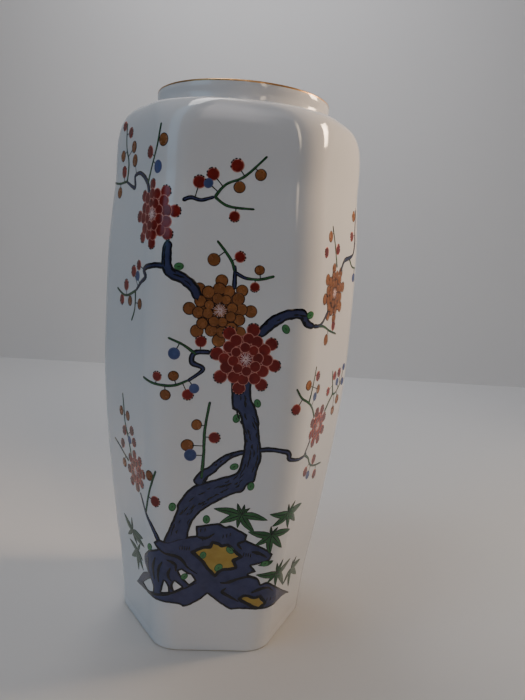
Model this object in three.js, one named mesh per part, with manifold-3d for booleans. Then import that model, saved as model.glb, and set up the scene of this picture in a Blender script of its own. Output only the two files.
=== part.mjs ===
// Hexagonal porcelain flower vase with a plum tree, a garden rock and bamboo in overglaze enamel.
// Millimetres, +Z up. The origin is the middle of the foot, on the surface that the vase stands on,
// and the middle of the front face looks towards -Y.
//
// The porcelain is made as a potter makes it: a foot ring, a floor slab, a pressed hexagonal wall
// and a turned neck, which are luted together and fired. The enamels and the gilding are the thin
// layers fused on top. Each layer is one solid, held clear of its neighbours by a hairline gap.

import * as THREE from 'three';
import { mergeVertices } from 'three/addons/utils/BufferGeometryUtils.js';
import Module from 'manifold-3d';

const manifold = await Module();
manifold.setup();

// ---- driving dimensions -----------------------------------------------------------------

const HEIGHT = 245;            // foot to the top of the lip
const WALL = 4;                // thickness of the porcelain
const GAP = 0.3;               // hairline between two luted or touching layers
const CORNER = 0.344;          // corner radius as a part of the apothem, all the way up the body

const FOOT_HEIGHT = 5;
const FOOT_CHAMFER = 0.8;
const FLOOR_THICKNESS = 4.5;

const SHOULDER_START = 207;    // height where the straight faces begin to turn in
const SHOULDER_TOP = 236.4;    // height of the flat ledge that carries the neck
const SHOULDER_POWER = 0.456;  // below 1, the shoulder is squarer than an ellipse
const ROUNDING_POWER = 1.1;    // how fast the hexagon turns round over the shoulder
const NEARLY_ROUND = 0.97;     // corner fraction at the ledge

const NECK_RADIUS = 38.9;      // outside, where it meets the ledge
const NECK_BORE = 34.6;
const LIP_RADIUS = 38.4;
const LIP_HEIGHT = 1;          // the gilded top of the lip

const ENAMEL_LIFT = 0.3;       // hairline between the glaze and the enamel
const ENAMEL = 0.4;            // thickness of an enamel layer

// Apothem of the body against height: [height, half the distance across the flats].
const BELLY = [
  [0, 40.1], [20, 41.6], [45, 45], [80, 49.1], [115, 52.1], [150, 52.7], [180, 52.3], [207, 50.3],
];

const GLAZE = { color: 0xe6e9ee, roughness: 0.12 };
const BISQUE = { color: 0xd9d4c8, roughness: 0.75 };
const BLUE = { color: 0x1f2a5c, roughness: 0.25 };
const RED = { color: 0x9c2a1f, roughness: 0.25 };
const GREEN = { color: 0x1f5a33, roughness: 0.25 };
const YELLOW = { color: 0xc9a23a, roughness: 0.25 };
const BROWN_GOLD = { color: 0x9a6a2c, roughness: 0.3, metalness: 0.6 };
const GOLD = { color: 0xb58a45, roughness: 0.3, metalness: 0.9 };

// ---- the hexagonal form -----------------------------------------------------------------

const SIXTH = Math.PI / 3;
const HALF_SIXTH = Math.PI / 6;

/** Smooth value through [place, value] stations, with each slope the mean of its two neighbours'. */
function smoothThrough(stations, place) {
  const last = stations.length - 2;
  const found = stations.findIndex(([end], i) => i > 0 && place <= end) - 1;
  const i = found < 0 ? last : found;
  const secant = (n) => {
    const [from, to] = [stations[n], stations[n + 1]];
    return (to[1] - from[1]) / (to[0] - from[0]);
  };
  const step = stations[i + 1][0] - stations[i][0];
  const startSlope = (secant(Math.max(i - 1, 0)) + secant(i)) / 2;
  const endSlope = (secant(i) + secant(Math.min(i + 1, last))) / 2;
  const t = (place - stations[i][0]) / step;
  return stations[i][1] * (2 * t ** 3 - 3 * t ** 2 + 1)
    + startSlope * step * (t ** 3 - 2 * t ** 2 + t)
    + stations[i + 1][1] * (3 * t ** 2 - 2 * t ** 3)
    + endSlope * step * (t ** 3 - t ** 2);
}

/** Apothem and corner radius of the outside, at a height up to the ledge. */
function outsideSection(height) {
  const start = smoothThrough(BELLY, Math.min(height, SHOULDER_START));
  return shoulderSection(height, start, NECK_RADIUS, SHOULDER_TOP);
}

/** The same for the inside, which keeps the wall's thickness and closes in to the neck's bore. */
function insideSection(height) {
  const start = smoothThrough(BELLY, Math.min(height, SHOULDER_START)) - WALL;
  return shoulderSection(height, start, NECK_BORE, SHOULDER_TOP - WALL);
}

function shoulderSection(height, start, topRadius, topHeight) {
  if (height <= SHOULDER_START) {
    return { apothem: start, corner: start * CORNER };
  }
  const rise = Math.min((height - SHOULDER_START) / (topHeight - SHOULDER_START), 1);
  const sine = rise ** (1 / SHOULDER_POWER);
  const cosine = Math.sqrt(1 - sine ** 2);
  const apothem = topRadius + (start - topRadius) * cosine ** SHOULDER_POWER;
  const fraction = CORNER + (NEARLY_ROUND - CORNER) * (1 - cosine ** ROUNDING_POWER);
  return { apothem, corner: apothem * fraction };
}

/** Half the length of a flat, between two corner arcs. */
const halfFlat = ({ apothem, corner }) => (apothem - corner) * Math.tan(HALF_SIXTH);

/** How far the section reaches in the direction that is turned by an angle from a face's normal. */
function reach({ apothem, corner }, turned) {
  return (apothem - corner) * Math.cos(turned - HALF_SIXTH) / Math.cos(HALF_SIXTH) + corner;
}

/**
 * A point of the decorated surface. s runs to the right round the wall from the middle of the front
 * face, height is up, and lift is the distance in front of the glaze.
 */
function onWall(s, height, lift) {
  const section = outsideSection(height);
  const flat = halfFlat(section);
  const face = Math.round(s / (2 * flat + section.corner * SIXTH));
  const along = s - face * (2 * flat + section.corner * SIXTH);
  const side = Math.sign(along) || 1;
  const turned = Math.max(Math.abs(along) - flat, 0) / section.corner;
  const onFlat = Math.min(Math.abs(along), flat);

  const normal = face * SIXTH + side * turned;
  const centre = section.apothem - section.corner;
  const out = centre + section.corner * Math.cos(turned);
  const across = side * (onFlat + section.corner * Math.sin(turned));
  const turn = face * SIXTH;
  const x = out * Math.sin(turn) + across * Math.cos(turn);
  const y = -out * Math.cos(turn) + across * Math.sin(turn);

  const probe = 0.05;
  const lower = outsideSection(height - probe);
  const slope = (reach(section, turned) - reach(lower, turned)) / probe;
  const scale = lift / Math.hypot(1, slope);
  return new THREE.Vector3(
    x + Math.sin(normal) * scale,
    y - Math.cos(normal) * scale,
    height - slope * scale,
  );
}

// ---- porcelain --------------------------------------------------------------------------

const ARC_STEPS = 4;                          // facets on each corner arc
const COLUMNS = 6 * (ARC_STEPS + 1);          // one more facet for each flat

/** A point of a hexagonal ring: each corner arc has its own columns, and a flat joins two arcs. */
function ringPoint({ apothem, corner, height }, column) {
  const sixth = Math.floor(column / (ARC_STEPS + 1)) * SIXTH;
  const turned = sixth + (column % (ARC_STEPS + 1)) * SIXTH / ARC_STEPS;
  const centre = (apothem - corner) / Math.cos(HALF_SIXTH);
  return new THREE.Vector3(
    centre * Math.sin(sixth + HALF_SIXTH) + corner * Math.sin(turned),
    -centre * Math.cos(sixth + HALF_SIXTH) - corner * Math.cos(turned),
    height,
  );
}

/** A round blank turned on the wheel, then pressed out to the rounded hexagon ring by ring. */
function pressedHexagon(rings) {
  const closed = [...rings, rings[0]];
  const profile = closed.map(({ apothem, height }) => new THREE.Vector2(apothem, height));
  const blank = new THREE.LatheGeometry(profile, COLUMNS);
  const position = blank.attributes.position;
  for (let i = 0; i < position.count; i += 1) {
    const column = Math.floor(i / closed.length) % COLUMNS;
    const point = ringPoint(closed[i % closed.length], column);
    position.setXYZ(i, point.x, point.y, point.z);
  }
  return plain(blank);
}

/** The geometry with positions only and its shared vertices merged. */
function plain(geometry) {
  geometry.deleteAttribute('normal');
  geometry.deleteAttribute('uv');
  return mergeVertices(geometry, 1e-5);
}

const ring = (section, height, inset = 0) => ({
  apothem: section.apothem - inset,
  corner: Math.max(section.corner - inset, 1),
  height,
});

function bodyWall() {
  const bottom = FOOT_HEIGHT + GAP;
  const straight = [bottom, 24, 45, 65, 90, 120, 150, 180, SHOULDER_START];
  const shoulderRise = [0.3, 0.52, 0.7, 0.83, 0.92, 0.975, 0.998, 1];
  const heights = (top) => [
    ...straight,
    ...shoulderRise.map((rise) => SHOULDER_START + (top - SHOULDER_START) * rise),
  ];
  const outside = heights(SHOULDER_TOP).map((height) => ring(outsideSection(height), height));
  const inside = heights(SHOULDER_TOP - WALL).map((height) => ring(insideSection(height), height));
  const ledge = { ...inside.at(-1), height: SHOULDER_TOP };
  return pressedHexagon([...outside, ledge, ...inside.reverse()]);
}

function footRing() {
  const top = outsideSection(FOOT_HEIGHT);
  const bottom = outsideSection(0);
  return pressedHexagon([
    ring(bottom, 0, FOOT_CHAMFER),
    ring(bottom, FOOT_CHAMFER),
    ring(top, FOOT_HEIGHT),
    ring(top, FOOT_HEIGHT, WALL),
    ring(bottom, 0, WALL),
  ]);
}

/** The slab that closes the bottom, luted inside the wall a little above the foot. */
function baseFloor() {
  const height = FOOT_HEIGHT + GAP;
  const { apothem, corner } = ring(insideSection(height), height, GAP);
  const outline = new THREE.Shape();
  const centre = (apothem - corner) / Math.cos(HALF_SIXTH);
  for (let k = 0; k < 6; k += 1) {
    const turned = k * SIXTH;
    outline.absarc(centre * Math.cos(turned), centre * Math.sin(turned), corner,
      turned - HALF_SIXTH, turned + HALF_SIXTH);
  }
  const slab = new THREE.ExtrudeGeometry(outline, {
    depth: FLOOR_THICKNESS,
    bevelEnabled: false,
    curveSegments: CURVE_STEPS,
  });
  slab.translate(0, 0, height);
  return plain(slab);
}

/** A ring turned on the wheel about the vertical axis, from a closed [radius, height] profile. */
function thrownRing(profile) {
  const points = [...profile, profile[0]].map(([radius, height]) => new THREE.Vector2(radius, height));
  const geometry = new THREE.LatheGeometry(points, 36);
  geometry.rotateX(Math.PI / 2);
  return plain(geometry);
}

function neckCollar() {
  const bottom = SHOULDER_TOP + GAP;
  const top = HEIGHT - LIP_HEIGHT - GAP;
  const waist = bottom + 0.3 * (top - bottom);
  return thrownRing([
    [NECK_BORE, bottom],
    [NECK_RADIUS, bottom],
    [NECK_RADIUS - 0.9, waist],
    [LIP_RADIUS, top - 1.5],
    [LIP_RADIUS, top],
    [NECK_BORE, top],
  ]);
}

function lipGilding() {
  const bottom = HEIGHT - LIP_HEIGHT;
  return thrownRing([
    [NECK_BORE, bottom],
    [LIP_RADIUS, bottom],
    [LIP_RADIUS - 0.6, HEIGHT - 0.25],
    [LIP_RADIUS - 1.4, HEIGHT],
    [NECK_BORE + 1.2, HEIGHT],
    [NECK_BORE + 0.3, HEIGHT - 0.4],
  ]);
}

// ---- enamel shapes, drawn flat as [s, height] -------------------------------------------
// A flat plate is drawn first, with the surface unrolled: x is s, y is height, z is the lift.

function solidOf(geometry) {
  const mesh = plain(geometry);
  return new manifold.Manifold(new manifold.Mesh({
    numProp: 3,
    vertProperties: mesh.attributes.position.array,
    triVerts: new Uint32Array(mesh.index.array),
  }));
}

/** A brush stroke through [s, height] points, whose widths are spread along its length. */
function stroke(points, widths, grow = 0) {
  const line = new THREE.SplineCurve(points.map(([s, height]) => new THREE.Vector2(s, height)));
  const steps = points.length - 1;
  const ribbon = new THREE.BoxGeometry(1, 1, ENAMEL + 2 * grow, steps, 1, 1);
  const position = ribbon.attributes.position;
  for (let i = 0; i < position.count; i += 1) {
    const t = Math.round((position.getX(i) + 0.5) * steps) / steps;
    const place = t * (widths.length - 1);
    const from = Math.min(Math.floor(place), widths.length - 2);
    const width = THREE.MathUtils.lerp(widths[from], widths[from + 1], place - from) + 2 * grow;
    const centre = line.getPoint(t);
    const along = line.getTangent(t);
    const end = t === 0 ? -grow : t === 1 ? grow : 0;
    const side = position.getY(i) * width;
    position.setXYZ(i,
      centre.x + along.x * end - along.y * side,
      centre.y + along.y * end + along.x * side,
      ENAMEL_LIFT + ENAMEL / 2 + position.getZ(i));
  }
  return solidOf(ribbon);
}

/** A filled shape, laid as a plate of enamel. */
function patch(shape, grow = 0) {
  const depth = ENAMEL + 2 * grow;
  const settings = { depth, bevelEnabled: false, curveSegments: CURVE_STEPS };
  const plate = new THREE.ExtrudeGeometry(shape, settings);
  plate.translate(0, 0, ENAMEL_LIFT - grow);
  return solidOf(plate);
}

const flatPoints = (list) => list.map(([s, height]) => new THREE.Vector2(s, height));

const joined = (solids) => solids.reduce((all, one) => all.add(one));

// ---- the picture on one side of the vase ------------------------------------------------
// Every blossom is a round of petals: [name, s, height, radius, material].

const BLOSSOMS = [
  ['blossom_red_main', 6, 137, 14.6, RED],
  ['blossom_gold_main', -5.3, 155.6, 14.4, BROWN_GOLD],
  ['blossom_red_high', -36, 190.5, 13.8, RED],
  ['blossom_gold_right', 54, 164, 13.4, BROWN_GOLD],
  ['blossom_red_left', -44, 81.5, 9.6, RED],
  ['blossom_red_right', 50, 105.3, 10, RED],
];

const PETALS = 8;
const CURVE_STEPS = 2;   // three.js doubles this on an arc: four facets on the free edge of a petal

// What grows, as strokes of [points, widths]. A spray is one solid, from where it leaves the wood or a
// blossom to its tips. Its buds are loose dots of colour that carry no shape of their own.
const SPRAYS = [
  {
    name: 'plum_trunk',
    material: BLUE,
    strokes: [
      [[[5.6, 121], [8.5, 114], [11, 106], [11.7, 98], [10, 90], [4.5, 84], [-2, 80], [-9, 75],
        [-14, 68], [-17, 60], [-17.5, 56]], [8, 7.2, 7, 7.4, 8, 8.6, 8.6, 9, 9.4, 10, 12]],
      [[[-7, 82], [-3, 90], [2, 95.5], [8, 98.8]], [4, 3, 3, 3]],
      [[[-7, 119], [-8.4, 107], [-8.3, 97], [-8.4, 82]], [1, 1.2, 1.3, 1.6]],
    ],
  },
  {
    name: 'branch_high_left',
    material: BLUE,
    strokes: [
      [[[-26.5, 181], [-27.3, 174], [-26, 169.5], [-20, 167], [-15.5, 163], [-14, 159]],
        [3.6, 4.4, 4.6, 4.2, 4.2, 3.4]],
      [[[-27, 171.3], [-34, 171], [-40.3, 169], [-38.5, 166.2], [-43, 163.5], [-47.5, 160]],
        [2.6, 2.2, 2.4, 2.4, 1.6, 1.4]],
      [[[-47.5, 160], [-56, 157.2], [-62, 157.2], [-68.3, 159.3]], [1.4, 1.3, 1.2, 1]],
      [[[-48, 160], [-48, 152.5], [-51, 147]], [1.3, 1.3, 1.5]],
    ],
  },
  {
    name: 'branch_right',
    material: BLUE,
    strokes: [
      [[[10.5, 146.5], [15, 151.8], [21, 155.6], [27.5, 156], [30, 152.5], [34.5, 151.2]],
        [3.6, 4.2, 4, 3.8, 3.2, 2.6]],
      [[[34, 151.2], [40, 151.3], [45, 154], [49, 158]], [2.2, 1.6, 1.8, 2]],
      [[[39, 151], [45, 150.2], [52, 148], [61, 145.8]], [1.2, 1.4, 1.2, 1]],
    ],
  },
  {
    name: 'branch_low_right',
    material: BLUE,
    strokes: [
      [[[14.5, 99.4], [20, 100], [26.5, 98.6], [28, 96], [33, 94.4], [38.5, 95.6]],
        [2, 2, 2.2, 2.2, 2, 1.8]],
      [[[38, 95.4], [43, 100.5]], [1.6, 1.8]],
      [[[38, 95.5], [43.5, 91.8], [47, 87.8], [53, 85.2], [62.5, 83.8]], [1.8, 2, 1.4, 1.2, 1]],
    ],
  },
  {
    name: 'branch_low_left',
    material: BLUE,
    strokes: [
      [[[-39.5, 73], [-34, 65.5], [-29.5, 60.5], [-25.5, 55.5]], [1.8, 2.4, 2.4, 2.6]],
      [[[-33.8, 65.5], [-31.5, 76], [-28, 87.2]], [1.6, 1.3, 1.2]],
    ],
  },
  {
    name: 'twig_top_left',
    material: GREEN,
    strokes: [
      [[[-40, 198], [-43, 203.3], [-50, 207], [-56, 206.3], [-55.5, 201.5], [-65, 204.5]],
        [3, 2.6, 2, 2, 2.2, 1.2]],
      [[[-65, 204.5], [-73, 204], [-82, 205]], [1.3, 1.1, 1]],
      [[[-64.6, 204], [-63.6, 212], [-66.6, 219], [-67.3, 229]], [1.8, 1.3, 1.1, 1]],
      [[[-42.3, 202.5], [-40, 208], [-35.6, 216.5], [-33.6, 225]], [1.8, 1.4, 1.2, 1.2]],
    ],
  },
  {
    name: 'twig_top_right',
    material: GREEN,
    strokes: [
      [[[-22, 196.2], [-19, 197.6], [-15, 197], [-10, 198.5]], [1.8, 1.6, 1.4, 1.2]],
      [[[-10, 198.3], [-6, 203.4], [1, 207], [9, 215]], [1.2, 1.1, 1.1, 1]],
      [[[-10, 198.6], [-4.5, 195.4], [5.5, 195]], [1.2, 1.1, 1]],
    ],
  },
  {
    name: 'twig_above_gold',
    material: GREEN,
    strokes: [
      [[[-0.3, 164], [-0.5, 172.5], [-8, 182.3]], [1.8, 1.4, 1.1]],
      [[[-0.4, 170.5], [4, 168.6], [9, 168.6], [15, 170.3]], [1.6, 1.3, 1.1, 1]],
    ],
  },
  {
    name: 'twig_left_middle',
    material: GREEN,
    strokes: [
      [[[-8, 139], [-14, 138.4], [-15, 134.5], [-10.5, 132], [-16.5, 126.8]],
        [2.4, 2.4, 2.4, 1.8, 1.2]],
      [[[-25, 143.7], [-19, 141.4], [-13.5, 137.8]], [1, 1, 1.4]],
      [[[-37, 126], [-30, 124.5], [-22, 124.7], [-16.2, 127.2]], [1, 1.1, 1.2, 1.2]],
    ],
  },
  {
    name: 'twig_low_left',
    material: GREEN,
    strokes: [
      [[[-49, 87], [-52, 94], [-56, 101], [-57.3, 107], [-58.8, 114]], [2, 1.8, 1.4, 1.4, 1.4]],
    ],
  },
  {
    name: 'twig_far_left',
    material: GREEN,
    strokes: [
      [[[-52, 83.6], [-56, 84.8], [-62, 87.3], [-69, 89.6]], [1.5, 1.4, 1.2, 1]],
    ],
  },
  {
    name: 'twig_high_right',
    material: GREEN,
    strokes: [
      [[[60, 173], [64, 178], [70, 179.2], [75.5, 181], [77.3, 186], [76.6, 194], [76.5, 202]],
        [2.2, 2.6, 2.2, 1.8, 1.8, 1.4, 1.2]],
      [[[71, 179], [75.5, 175.6], [80.5, 175]], [1.4, 1.2, 1]],
    ],
  },
  {
    name: 'twig_above_right',
    material: GREEN,
    strokes: [
      [[[44.5, 110.5], [40, 116], [35, 119.4], [31, 121.6], [27.8, 125.8]], [1.8, 1.6, 1.4, 1.2, 1.2]],
      [[[36, 119], [38.3, 126], [40.3, 134]], [1.2, 1.2, 1]],
    ],
  },
  {
    name: 'twig_far_right',
    material: GREEN,
    strokes: [
      [[[57, 110.5], [61, 114], [65, 117.6], [63.6, 122.5], [61.8, 129]], [1.8, 1.8, 1.8, 1.2, 1]],
      [[[65, 117.4], [69, 117.2], [74.5, 120.5]], [1.8, 1.3, 1]],
    ],
  },
];

const HOLLOW_MARGIN = 0.1;   // how far a hollow's glaze is drawn in towards its middle

// The pierced garden rock: its outline, the gaps between its roots and its two yellow hollows.
const ROCK = {
  outline: [[-46.5, 22], [-37, 22.6], [-28, 23], [-19, 24.6], [-13, 23], [-7, 26.5], [-3, 29.5],
    [3, 25.3], [7, 22.6], [20, 22.4], [28, 21.4], [36, 21.4], [49, 16.6], [41, 24], [33, 28.6],
    [28, 31.4], [24.5, 34.4], [20, 34.6], [16, 37.8], [12, 39.6], [17, 42.6], [15.6, 46], [20, 47],
    [23.6, 48.6], [24, 51], [20, 54], [12.6, 57.4], [12, 59.6], [8.6, 62.6], [3, 64.8], [-5, 65],
    [-9.6, 62.8], [-9, 59], [-11, 56], [-23, 56.4], [-28.6, 53.6], [-26.4, 50.4], [-31, 48],
    [-35.4, 44], [-37, 38], [-33.4, 36], [-39, 30], [-42, 26]],
  gaps: [
    [[-38.5, 27], [-34, 26.8], [-29.5, 28], [-29, 33], [-33, 31.8]],
    [[-16, 40.6], [-15.6, 38], [-12.6, 34.6], [-9.6, 36.2], [-11, 39]],
  ],
  hollows: {
    rock_hollow_star: [[-10, 50.6], [-6, 46], [-4, 43.6], [-0.6, 39.4], [2, 43], [7.4, 45.6],
      [7.4, 48.4], [10, 50.4], [6, 52], [2, 54.6], [-1, 55.6], [-4, 53.4]],
    rock_hollow_low: [[11.4, 28], [15, 29.8], [20, 29], [22.6, 25.6], [21, 22.9], [17, 24.2]],
  },
};

const LEAF_HALF_WIDTH = 1;

// Bamboo: each fan is [s, height, leaf tips around it].
const BAMBOO = {
  bamboo_high: [[8.5, 71, [[-3, 71.8], [1, 66.4], [8.2, 63.4], [14.6, 62.2], [20.4, 67.4],
    [12.4, 73], [7.4, 75]]]],
  bamboo_right: [
    [32, 71, [[22, 70.6], [24, 64.4], [31, 62.2], [38.6, 62.4], [44.6, 69], [36, 74]]],
    [23.6, 60, [[14, 61.4], [16.4, 55.4], [23, 52.4], [29, 53], [34.6, 59], [31, 69.6]]],
  ],
  bamboo_low_right: [
    [29, 40.4, [[18, 40.4], [22, 36.4], [28, 34.6], [35, 34.4], [42.4, 39.8], [29.6, 45]]],
    [44.6, 34, [[31, 37.6], [35, 30], [44.4, 24.6], [54, 26.6], [57.4, 32.6], [49, 38]]],
  ],
  bamboo_left: [
    [-49, 51, [[-59, 53.6], [-55.6, 45.8], [-47, 43.6], [-38.6, 48.6], [-42.6, 52.4], [-50, 56]]],
    [-44, 41.6, [[-54, 43], [-52, 35], [-44, 31], [-38, 34], [-48, 49.6]]],
  ],
};

// ---- from the flat picture to solids on the wall ----------------------------------------

/** Petals round a heart: a disc with a scalloped edge. */
function blossom([, s, height, radius], grow = 0) {
  const petal = 0.28 * radius;
  const out = radius - petal;
  const opening = 0.36 * Math.PI;
  const outline = new THREE.Shape();
  for (let k = 0; k < PETALS; k += 1) {
    const turn = k * 2 * Math.PI / PETALS;
    outline.absarc(s + out * Math.cos(turn), height + out * Math.sin(turn), petal + grow,
      turn - opening, turn + opening);
  }
  return patch(outline, grow);
}

function spray({ strokes }, grow = 0) {
  return joined(strokes.map(([points, widths]) => stroke(points, widths, grow)));
}

/** One fan of leaves round its heart. Each leaf widens to its middle and ends in a point. */
function fan([s, height, tips], grow = 0) {
  const heart = new THREE.Vector2(s, height);
  const leaves = flatPoints(tips).map((tip) => tip.sub(heart)).sort((a, b) => a.angle() - b.angle());
  const outline = leaves.flatMap((leaf, i) => {
    const next = leaves[(i + 1) % leaves.length];
    const along = leaf.clone().normalize();
    const side = new THREE.Vector2(-along.y, along.x).multiplyScalar(LEAF_HALF_WIDTH + grow);
    const middle = leaf.clone().multiplyScalar(0.45);
    const notch = along.clone().add(next.clone().normalize()).setLength(LEAF_HALF_WIDTH + grow);
    const tip = leaf.clone().addScaledVector(along, grow);
    return [middle.clone().sub(side), tip, middle.add(side), notch];
  });
  return patch(new THREE.Shape(outline.map((point) => point.add(heart))), grow);
}

function rock() {
  const shape = new THREE.Shape(flatPoints(ROCK.outline));
  const holes = [...ROCK.gaps, ...Object.values(ROCK.hollows)];
  shape.holes = holes.map((hole) => new THREE.Path(flatPoints(hole)));
  return patch(shape);
}

/** The yellow glaze in a hollow, drawn in a little so that its edge stays clear of the rock. */
function hollow(outline) {
  const points = flatPoints(outline);
  const middle = points.reduce((sum, point) => sum.add(point), new THREE.Vector2());
  middle.divideScalar(points.length);
  return patch(new THREE.Shape(points.map((point) => point.lerp(middle, HOLLOW_MARGIN))));
}

const SPLIT_STEP = 5;   // widest flat facet that still follows the round corners

/** Whether the wall turns a corner at this s, or within a step of it. */
function isNearCorner(s, height) {
  const section = outsideSection(height);
  const flat = halfFlat(section);
  const pitch = 2 * flat + section.corner * SIXTH;
  return Math.abs(s - Math.round(s / pitch) * pitch) > flat - 0.8 * SPLIT_STEP;
}

/** Splits the triangles where one coordinate is a multiple of the step, if that line is needed. */
function splitAlong(triangles, axis, isNeeded) {
  let pieces = triangles;
  const values = triangles.flat().map((point) => point.getComponent(axis));
  const first = Math.ceil(Math.min(...values) / SPLIT_STEP);
  const last = Math.floor(Math.max(...values) / SPLIT_STEP);
  for (let line = first; line <= last; line += 1) {
    const value = line * SPLIT_STEP;
    if (isNeeded(value)) {
      pieces = pieces.flatMap((triangle) => splitAt(triangle, axis, value));
    }
  }
  return pieces;
}

/** One triangle cut by a line: the triangles on both sides of it, with the same winding. */
function splitAt(triangle, axis, value) {
  const tiny = 1e-3;
  const side = triangle.map((point) => {
    const distance = point.getComponent(axis) - value;
    return Math.abs(distance) < tiny ? 0 : Math.sign(distance);
  });
  if (!side.includes(1) || !side.includes(-1)) {
    return [triangle];
  }
  const halves = [-1, 1].map((wanted) => {
    const outline = [];
    triangle.forEach((point, i) => {
      const next = (i + 1) % 3;
      if (side[i] !== -wanted) {
        outline.push(point);
      }
      if (side[i] * side[next] === -1) {
        outline.push(crossing(point, triangle[next], axis, value));
      }
    });
    return outline;
  });
  return halves.flatMap((outline) => (
    outline.slice(2).map((point, i) => [outline[0], outline[i + 1], point])
  ));
}

/** Where an edge crosses the line, worked out the same way from either end. */
function crossing(a, b, axis, value) {
  const [low, high] = a.getComponent(axis) < b.getComponent(axis) ? [a, b] : [b, a];
  const part = (value - low.getComponent(axis)) / (high.getComponent(axis) - low.getComponent(axis));
  return low.clone().lerp(high, part);
}

/** Bends a flat plate onto the wall, as a mesh. */
function bent(plate) {
  const { vertProperties, triVerts } = plate.getMesh();
  const corner = (index) => new THREE.Vector3().fromArray(vertProperties, index * 3);
  let triangles = [];
  for (let i = 0; i < triVerts.length; i += 3) {
    triangles.push([...triVerts.slice(i, i + 3)].map(corner));
  }
  const heights = triangles.flat().map((point) => point.y);
  const ends = [Math.min(...heights), Math.max(...heights)];
  triangles = splitAlong(triangles, 0, (s) => ends.some((height) => isNearCorner(s, height)));
  triangles = splitAlong(triangles, 1, (height) => height > SHOULDER_START);
  const points = triangles.flat().map((point) => onWall(point.x, point.y, point.z));
  const geometry = new THREE.BufferGeometry().setFromPoints(points);
  return mergeVertices(geometry, 1e-3);
}

// ---- the vase ---------------------------------------------------------------------------

const vase = new THREE.Group();

function addPart(name, geometry, { color, roughness, metalness = 0 }) {
  geometry.computeVertexNormals();
  const mesh = new THREE.Mesh(geometry, new THREE.MeshStandardMaterial({ color, roughness, metalness }));
  mesh.name = name;
  vase.add(mesh);
  return mesh;
}

/** The flat plates of one side, in the order in which they lie over each other, top first. */
function picturePlates() {
  const plates = [];
  let covered = null;
  const lay = (name, material, draw) => {
    const plate = draw(0);
    plates.push({ name, material, plate: covered ? plate.subtract(covered) : plate });
    covered = covered ? covered.add(draw(GAP)) : draw(GAP);
  };
  BLOSSOMS.forEach((each) => lay(each[0], each[4], (grow) => blossom(each, grow)));
  SPRAYS.forEach((each) => lay(each.name, each.material, (grow) => spray(each, grow)));
  lay('garden_rock', BLUE, rock);
  Object.entries(ROCK.hollows).forEach(([name, outline]) => {
    plates.push({ name, material: YELLOW, plate: hollow(outline) });
  });
  Object.entries(BAMBOO).forEach(([name, fans]) => {
    lay(name, GREEN, (grow) => joined(fans.map((each) => fan(each, grow))));
  });
  return plates;
}

addPart('body_wall', bodyWall(), GLAZE);
addPart('neck_collar', neckCollar(), GLAZE);
addPart('foot_ring', footRing(), BISQUE);
addPart('base_floor', baseFloor(), GLAZE);
addPart('lip_gilding', lipGilding(), GOLD);

for (const { name, material, plate } of picturePlates()) {
  const geometry = bent(plate);
  addPart(`front_${name}`, geometry, material);
  addPart(`back_${name}`, geometry.clone(), material).rotation.z = Math.PI;
}

export default vase;
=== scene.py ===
"""A hexagonal porcelain flower vase with a plum tree, a garden rock and bamboo in overglaze enamel.

The porcelain and the gilded lip are fine skins round the CAD wall. The picture is drawn flat, as
(s, height) in millimetres, where s runs to the right round the wall from the middle of a decorated
face, and every touch of enamel is then bent onto the wall as a thin closed layer. The same picture
is on the back.
"""

import math

import bpy
import numpy as np
from mathutils import Matrix, Vector
from mathutils.geometry import delaunay_2d_cdt
from numpy.linalg import norm


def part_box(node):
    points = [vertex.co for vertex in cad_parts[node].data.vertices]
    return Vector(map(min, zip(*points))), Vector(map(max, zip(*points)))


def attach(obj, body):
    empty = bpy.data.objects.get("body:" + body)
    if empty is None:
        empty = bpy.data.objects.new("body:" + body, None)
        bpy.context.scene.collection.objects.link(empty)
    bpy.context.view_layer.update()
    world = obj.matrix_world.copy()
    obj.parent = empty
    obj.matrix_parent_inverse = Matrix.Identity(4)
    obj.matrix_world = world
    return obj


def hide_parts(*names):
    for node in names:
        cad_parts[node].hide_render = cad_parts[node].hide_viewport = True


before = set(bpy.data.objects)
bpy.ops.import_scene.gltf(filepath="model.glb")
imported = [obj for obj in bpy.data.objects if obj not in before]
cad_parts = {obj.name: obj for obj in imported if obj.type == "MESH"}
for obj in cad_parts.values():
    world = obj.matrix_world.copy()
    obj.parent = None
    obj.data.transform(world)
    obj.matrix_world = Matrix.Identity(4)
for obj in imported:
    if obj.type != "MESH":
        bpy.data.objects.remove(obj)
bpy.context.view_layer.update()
chance = np.random.default_rng(11)
between = chance.uniform

MM = 0.001
SIXTH = math.pi / 3
HALF_SIXTH = math.pi / 6

# ---- measures taken from the frame ----


def reach_bottom_top(node):
    """How far a CAD node reaches to the right, its bottom and its top, in millimetres."""
    low, high = (np.array(corner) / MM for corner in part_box(node))
    return high[0], low[2], high[2]


def ring_apothems(node):
    """(height, half the distance across the flats) of each ring of a CAD node's outside."""
    rings = {}
    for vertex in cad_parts[node].data.vertices:
        height = round(vertex.co.z / MM, 1)
        rings[height] = max(rings.get(height, 0), -vertex.co.y / MM)
    return sorted(rings.items())


LIP_RADIUS, LIP_BOTTOM, HEIGHT = reach_bottom_top("lip_gilding")
NECK_RADIUS, NECK_BOTTOM = reach_bottom_top("neck_collar")[:2]
SHOULDER_TOP = reach_bottom_top("body_wall")[2]
FOOT_HEIGHT = reach_bottom_top("foot_ring")[2]
FLOOR_LOW, FLOOR_HIGH = reach_bottom_top("base_floor")[1:]

WALL = 4
NECK_BORE = 34.6
CORNER = 0.344           # corner radius as a part of the apothem
SHOULDER_START = 207
SHOULDER_POWER = 0.456   # below 1, the shoulder is squarer than an ellipse
ROUNDING_POWER = 1.1     # how fast the hexagon turns round over the shoulder
NEARLY_ROUND = 0.97      # corner radius at the ledge, as a part of the apothem

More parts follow.
